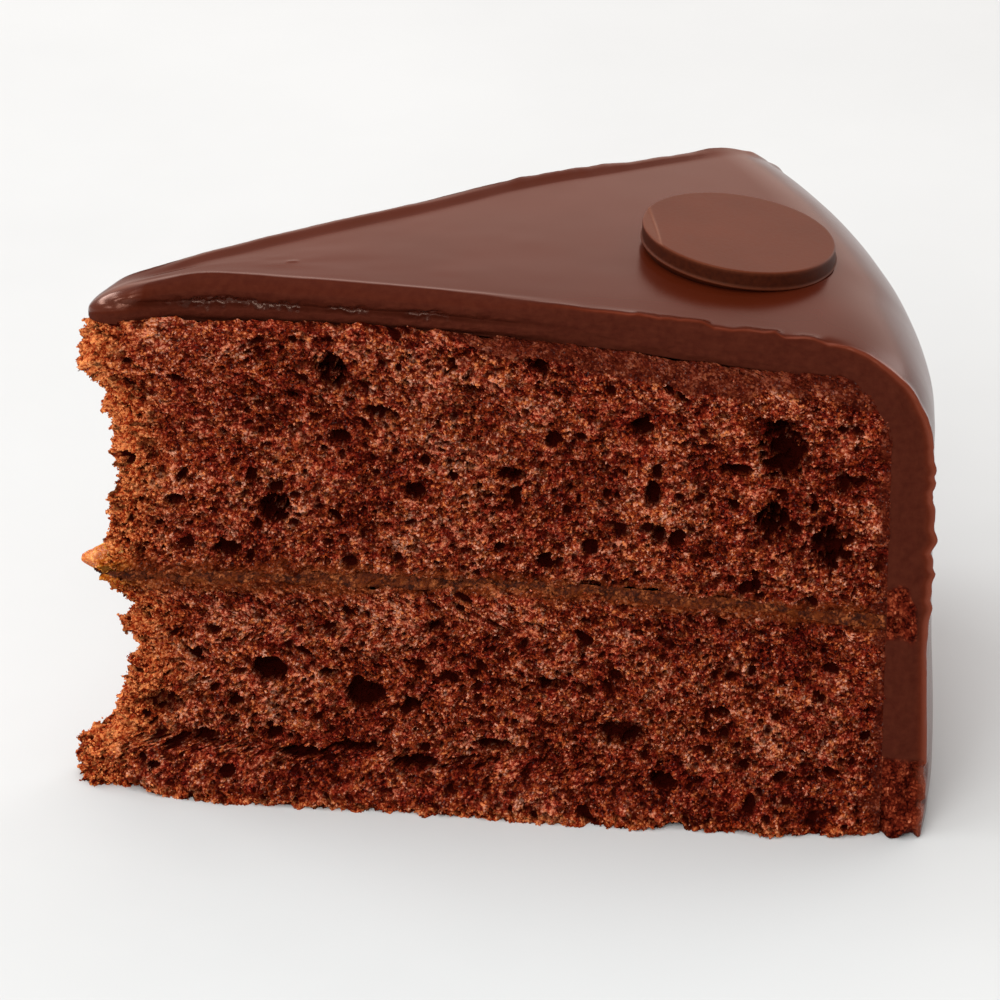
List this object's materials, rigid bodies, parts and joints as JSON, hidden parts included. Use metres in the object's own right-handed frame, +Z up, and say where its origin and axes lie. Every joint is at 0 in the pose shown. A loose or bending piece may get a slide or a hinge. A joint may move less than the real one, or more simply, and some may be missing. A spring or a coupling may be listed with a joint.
{
  "type": "sachertorte slice",
  "caption": "A wedge of sachertorte: chocolate sponge in layers with a jam filling, glossy chocolate glaze over top and rim, and a plain round chocolate disc on the glaze.",
  "frame": {"origin": "middle of the slice's box, on the surface it stands on", "axes": "+X runs along the slice from its point to the glazed rim, +Z is up, and the cut that faces the viewer of the picture is on the -Y side"},
  "size_m": [0.1088, 0.074, 0.071],
  "materials": {
    "sponge": "porous chocolate crumb, matte",
    "jam": "apricot jam soaked into crumb, moist",
    "glaze": "cooked chocolate glaze, glossy",
    "disc": "moulded chocolate, satin"
  },
  "bodies": {
    "root": {"sponge_lower": "sponge", "sponge_upper": "sponge", "jam_filling": "jam", "glaze": "glaze", "chocolate_disc": "disc"}
  },
  "joints": []
}
